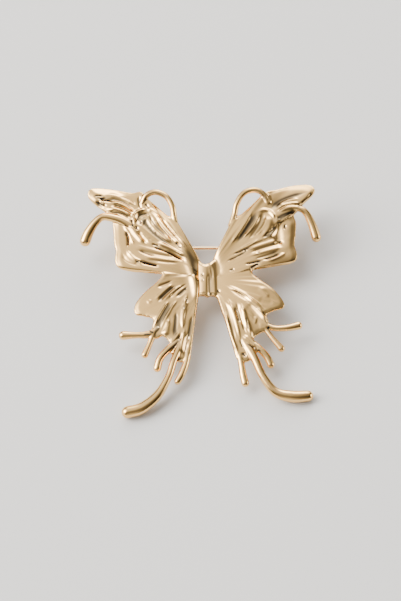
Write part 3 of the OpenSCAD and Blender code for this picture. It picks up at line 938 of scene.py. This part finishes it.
@dataclass(frozen=True)
class PolishedGold:
    """Champagne gold plating, with painted shade that deepens its colour in its folds.

    Its colours run from the plate over a half shade to the deepest painted shade. Clouds vary
    its brightness and its polish by small shares, and a fine grain ripples it.
    """

    name: str
    plate: Triple
    half_shade: Triple
    painted_shade: Triple
    roughness: float
    ripple: float
    tint: Paint = (0.96, 0.88, 0.76, 1.0)
    half_shade_at: float = 0.4
    cloud_share: float = 0.04
    glossiest: float = 0.8
    dullest: float = 1.25

    def material(self) -> bpy.types.Material:
        """Builds the finish.

        Returns:
            A material that reads object coordinates and the piece's painted shade attribute.
        """
        made = bpy.data.materials.new(self.name)
        made.use_nodes = True
        tree = made.node_tree
        links = tree.links
        shader = tree.nodes["Principled BSDF"]
        shader.inputs["Metallic"].default_value = 1.0
        shader.inputs["Specular Tint"].default_value = self.tint
        place = add_node(tree, "TexCoord").outputs["Object"]

        cloud = add_node(tree, "TexNoise", Scale=90.0, Detail=3.0)
        links.new(place, cloud.inputs["Vector"])
        # Painted shade: the attribute runs the plate's colour through the half shade to near black
        # in folds and hollows, standing in for shade there.
        shade_attribute = add_node(tree, "Attribute")
        shade_attribute.attribute_name = "painted_shade"
        tone = add_node(tree, "ValToRGB")
        stops = tone.color_ramp.elements
        stops[0].color = (*self.plate, 1.0)
        stops[1].color = (*self.painted_shade, 1.0)
        stops.new(self.half_shade_at).color = (*self.half_shade, 1.0)
        links.new(shade_attribute.outputs["Fac"], tone.inputs["Fac"])
        spread = add_node(tree, "MapRange", To_Min=1 - self.cloud_share,
                          To_Max=1 + self.cloud_share)
        links.new(cloud.outputs["Fac"], spread.inputs["Value"])
        warm = add_node(tree, "HueSaturation")
        links.new(spread.outputs["Result"], warm.inputs["Value"])
        links.new(tone.outputs["Color"], warm.inputs["Color"])
        links.new(warm.outputs["Color"], shader.inputs["Base Color"])

        polish = add_node(tree, "MapRange", To_Min=self.roughness * self.glossiest,
                          To_Max=self.roughness * self.dullest)
        links.new(cloud.outputs["Fac"], polish.inputs["Value"])
        links.new(polish.outputs["Result"], shader.inputs["Roughness"])

        grain = add_node(tree, "TexNoise", Scale=900.0, Detail=2.0)
        links.new(place, grain.inputs["Vector"])
        bump = add_node(tree, "Bump", Strength=self.ripple, Distance=0.00004)
        links.new(grain.outputs["Fac"], bump.inputs["Height"])
        links.new(bump.outputs["Normal"], shader.inputs["Normal"])
        return made


# The second and third colours are painted shade: the half shade and the deepest shade in the folds.
CAST_GOLD = PolishedGold("cast_gold", (1.0, 0.62, 0.225), (0.40, 0.285, 0.15),
                         (0.02, 0.011, 0.006), 0.10, 0.2)
FINDING_GOLD = PolishedGold("finding_gold", (1.0, 0.68, 0.36), (0.60, 0.30, 0.10),
                            (0.25, 0.14, 0.07), 0.18, 0.15)


def vectors(items: bpy.types.bpy_prop_collection, field: str) -> Array:
    """Reads one vector of each item.

    Args:
        items: a mesh's vertices or normals.
        field: the vector's name.

    Returns:
        The vectors, one row each.
    """
    flat = np.empty(len(items) * 3)
    items.foreach_get(field, flat)
    return flat.reshape(-1, 3)


def bake_modifiers(piece: bpy.types.Object) -> None:
    """Gives the piece the mesh that its modifiers make.

    Args:
        piece: the object.
    """
    old = piece.data
    graph = bpy.context.evaluated_depsgraph_get()
    piece.data = bpy.data.meshes.new_from_object(piece.evaluated_get(graph))
    piece.modifiers.clear()
    bpy.data.meshes.remove(old)


@dataclass
class Casting:
    """One side of the casting, fused from its wing and strands into one skin.

    The body is cast with the right side, and the left wing's root runs in under it. Its skin is
    given painted shade where a fold has a shade tone, and lightly where it bends inward.
    """

    name: str
    pose: Matrix
    wing: Wing
    strands: dict[str, Table]
    tail_drop: float
    body: Body | None = None
    grain_mm: float = 0.137
    smoothing: int = 2
    smooth_share: float = 0.5
    most_triangles: int = 196_000
    back_facing: float = -0.3
    front_rise: float = 2.5
    bend_passes: int = 3
    least_bend: float = 0.4
    bend_rise: float = 0.9
    bend_shade: float = 0.35

    def shells(self) -> list[BMesh]:
        """Builds the parts of this side.

        Returns:
            Its loose shells in the brooch's plane, in millimetres.
        """
        strands = bmesh.new()
        for name, rows in self.strands.items():
            drop = self.tail_drop if name == "tail" else 0.0
            Strand(rows, drop).build(strands, self.wing.mirrored)
        made = [self.wing.build(), strands]
        if self.body:
            made.append(self.body.build())
        return made

    def fused(self) -> bpy.types.Object:
        """Fuses the shells into one skin by a fine remesh.

        Returns:
            An object with the fused mesh, still in millimetres.
        """
        whole = bmesh.new()
        for shell in self.shells():
            part = bpy.data.meshes.new("part")
            shell.to_mesh(part)
            shell.free()
            whole.from_mesh(part)
            bpy.data.meshes.remove(part)
        mesh = bpy.data.meshes.new(self.name)
        whole.to_mesh(mesh)
        whole.free()
        piece = bpy.data.objects.new(self.name, mesh)
        bpy.context.scene.collection.objects.link(piece)
        fuse = piece.modifiers.new("fuse", "REMESH")
        fuse.mode = "VOXEL"
        fuse.voxel_size = self.grain_mm
        bake_modifiers(piece)
        return piece

    def finish(self, piece: bpy.types.Object) -> None:
        """Smooths the skin, paints shade into its folds and lays it in the world.

        Args:
            piece: the fused object.
        """
        bm = bmesh.new()
        bm.from_mesh(piece.data)
        for _ in range(self.smoothing):
            bmesh.ops.smooth_vert(bm, verts=bm.verts, factor=self.smooth_share,
                                  use_axis_x=True, use_axis_y=True, use_axis_z=True)
        bm.to_mesh(piece.data)
        bm.free()
        self.paint_fold_shade(piece.data)
        self.thin_back(piece)
        piece.data.transform(self.pose)
        piece.data.polygons.foreach_set("use_smooth", [True] * len(piece.data.polygons))

    def thin_back(self, piece: bpy.types.Object) -> None:
        """Thins the smooth back, so that the piece stays light and its face keeps its creases.

        Args:
            piece: the fused object.
        """
        skin = piece.data
        behind = np.flatnonzero(vectors(skin.vertex_normals, "vector")[:, 2] < self.back_facing)
        piece.vertex_groups.new(name="back").add(behind.tolist(), 1.0, "REPLACE")
        thin = piece.modifiers.new("thin", "DECIMATE")
        thin.ratio = min(1.0, self.most_triangles / (2 * len(skin.polygons)))
        thin.vertex_group = "back"
        bake_modifiers(piece)
        piece.vertex_groups.clear()

    def paint_fold_shade(self, mesh: bpy.types.Mesh) -> None:
        """Writes the painted shade of each point, darker in folds and where it bends inward, to the
        mesh's attribute.

        Args:
            mesh: the smoothed skin, in millimetres.
        """
        count = len(mesh.vertices)
        places = vectors(mesh.vertices, "co")
        outward = vectors(mesh.vertex_normals, "vector")
        ends = np.empty(len(mesh.edges) * 2, dtype=np.int32)
        mesh.edges.foreach_get("vertices", ends)
        a, b = ends[0::2], ends[1::2]
        number = np.bincount(a, minlength=count) + np.bincount(b, minlength=count)

        def round_mean(values: Array) -> Array:
            """Mean of each point's neighbours."""
            total = np.bincount(a, values[b], count) + np.bincount(b, values[a], count)
            return total / np.maximum(number, 1)

        pull = np.column_stack([round_mean(places[:, k]) for k in range(3)]) - places
        bend = np.einsum("ij,ij->i", pull, outward) / self.grain_mm ** 2
        for _ in range(self.bend_passes):
            bend = 0.5 * bend + 0.5 * round_mean(bend)
        # Painted shade: light where the skin bends inward, more where a fold has a shade tone, only
        # on faces turned up.
        painted_shade = self.bend_shade * np.clip((bend - self.least_bend) * self.bend_rise, 0.0, 1.0)
        front = np.clip(outward[:, 2] * self.front_rise, 0.0, 1.0)
        for part in filter(None, (self.wing, self.body)):
            painted_shade = np.maximum(painted_shade, front * part.shades(places))
        mesh.attributes.new("painted_shade", "FLOAT", "POINT").data.foreach_set("value", painted_shade)

    def build(self, gold: bpy.types.Material) -> bpy.types.Object:
        """Builds, dresses and places this side.

        Args:
            gold: the finish of the casting.

        Returns:
            The finished piece.
        """
        piece = self.fused()
        self.finish(piece)
        piece.data.materials.append(gold)
        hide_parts("butterfly")
        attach(piece, "brooch")
        return piece


@dataclass
class Findings:
    """The pin with its joint, rivet and catch, kept from the frame and given their finish."""

    nodes: tuple[str, ...] = ("pin_joint", "joint_rivet", "pin_stem", "catch")

    def dress(self) -> None:
        """Gives each finding its gold."""
        gold = FINDING_GOLD.material()
        for name in self.nodes:
            for slot in frame["nodes"][name].material_slots:
                slot.material = gold


@dataclass(frozen=True)
class Glow:
    """A soft patch of light in the room: where it is, how tight and how strong."""

    way: Triple
    tightness: float
    strength: float


@dataclass
class Studio:
    """A pale floor in a soft room: brightest from the left, with weaker glows all round."""

    floor_half: float = 1.5
    floor_paint: Paint = (0.50, 0.49, 0.475, 1.0)
    floor_roughness: float = 0.7
    light_colour: Paint = (1.0, 0.985, 0.96, 1.0)
    dim: float = 0.012
    glows: tuple[Glow, ...] = (
        Glow((-0.30, 0.30, 0.90), 8.0, 1.42),
        Glow((-0.85, 0.00, 0.55), 38.0, 26.0),
        Glow((0.10, 0.85, 0.52), 45.0, 12.0),
        Glow((0.95, 0.05, 0.25), 60.0, 8.0),
        Glow((-0.10, -0.90, 0.35), 6.0, 0.10),
        Glow((0.0, -0.99, 0.12), 20.0, 0.7),
    )
    lamp_place: Triple = (-0.35, 0.20, 0.60)
    lamp_size: float = 0.5
    lamp_power: float = 6.5

    def floor(self) -> None:
        """Lays the floor that the brooch rests on."""
        bm = bmesh.new()
        bmesh.ops.create_grid(bm, x_segments=1, y_segments=1, size=self.floor_half)
        mesh = bpy.data.meshes.new("floor")
        bm.to_mesh(mesh)
        bm.free()
        floor = bpy.data.objects.new("floor", mesh)
        bpy.context.scene.collection.objects.link(floor)
        paint = bpy.data.materials.new("pale_floor")
        paint.use_nodes = True
        shader = paint.node_tree.nodes["Principled BSDF"]
        shader.inputs["Base Color"].default_value = self.floor_paint
        shader.inputs["Roughness"].default_value = self.floor_roughness
        mesh.materials.append(paint)

    def lamp(self) -> None:
        """Hangs the soft lamp that casts the shadow on the floor."""
        light = bpy.data.lights.new("soft_lamp", "AREA")
        light.shape = "DISK"
        light.size = self.lamp_size
        light.energy = self.lamp_power
        lamp = bpy.data.objects.new("soft_lamp", light)
        lamp.location = self.lamp_place
        lamp.rotation_euler = (-Vector(self.lamp_place)).to_track_quat("-Z", "Y").to_euler()
        lamp.visible_glossy = False
        bpy.context.scene.collection.objects.link(lamp)

    def room(self) -> None:
        """Paints the room's light by direction: a dim base and the glows."""
        world = bpy.data.worlds.new("studio")
        bpy.context.scene.world = world
        world.use_nodes = True
        tree = world.node_tree
        way = add_node(tree, "TexCoord").outputs["Generated"]
        total = None
        for glow in self.glows:
            facing = add_node(tree, "VectorMath")
            facing.operation = "DOT_PRODUCT"
            facing.inputs[1].default_value = Vector(glow.way).normalized()
            tree.links.new(way, facing.inputs[0])
            near = add_maths(tree, "MULTIPLY_ADD", facing.outputs["Value"], 0.5, 0.5)
            near.use_clamp = True
            tight = add_maths(tree, "POWER", near.outputs[0], glow.tightness)
            strong = add_maths(tree, "MULTIPLY_ADD", tight.outputs[0], glow.strength, self.dim)
            if total is not None:
                tree.links.new(total, strong.inputs[2])
            total = strong.outputs[0]
        ground = tree.nodes["Background"]
        ground.inputs["Color"].default_value = self.light_colour
        tree.links.new(total, ground.inputs["Strength"])

    def build(self) -> None:
        """Lays the floor and lights the room."""
        self.floor()
        self.lamp()
        self.room()


@dataclass(frozen=True)
class PhotoCamera:
    """A long lens at the photograph's angle, as far away as its scale asks for."""

    elevation: float = 59.5
    mm_per_px: float = 0.236
    frame_px: float = 601.0
    lens: float = 120.0
    sensor: float = 36.0
    clip_start: float = 0.01
    aim: Triple = (0.0, -0.0004, 0.0056)

    def build(self) -> None:
        """Places the camera and makes it the scene's."""
        data = bpy.data.cameras.new("camera")
        data.lens = self.lens
        data.sensor_width = self.sensor
        data.clip_start = self.clip_start
        distance = self.mm_per_px * MM * self.frame_px * self.lens / self.sensor
        camera = bpy.data.objects.new("camera", data)
        rise = math.radians(self.elevation)
        back = Vector((0.0, -math.cos(rise), math.sin(rise)))
        camera.location = Vector(self.aim) + back * distance
        camera.rotation_euler = (math.radians(90.0 - self.elevation), 0.0, 0.0)
        bpy.context.scene.collection.objects.link(camera)
        bpy.context.scene.camera = camera


def main() -> None:
    """Builds the camera, the brooch and the studio, and reports each piece."""
    logging.basicConfig(level=logging.INFO, format="%(message)s")
    PhotoCamera().build()
    pose = RestPose().matrix()
    gold = CAST_GOLD.material()
    left = Wing(LEFT_RIM, LEFT_ROOT, LEFT_FOLDS, True, Streaks(0.3))
    right = Wing(RIGHT_RIM, RIGHT_ROOT, RIGHT_FOLDS, False, Streaks(0.7))
    for side in (
        Casting("left_casting", pose, left, LEFT_STRANDS, LEFT_TAIL_DROP),
        Casting("right_casting", pose, right, RIGHT_STRANDS, RIGHT_TAIL_DROP, Body()),
    ):
        piece = side.build(gold)
        log.info("%s: %d faces", piece.name, len(piece.data.polygons))
    Findings().dress()
    log.info("findings dressed")
    Studio().build()
    log.info("studio built")


if __name__ == "__main__":
    main()
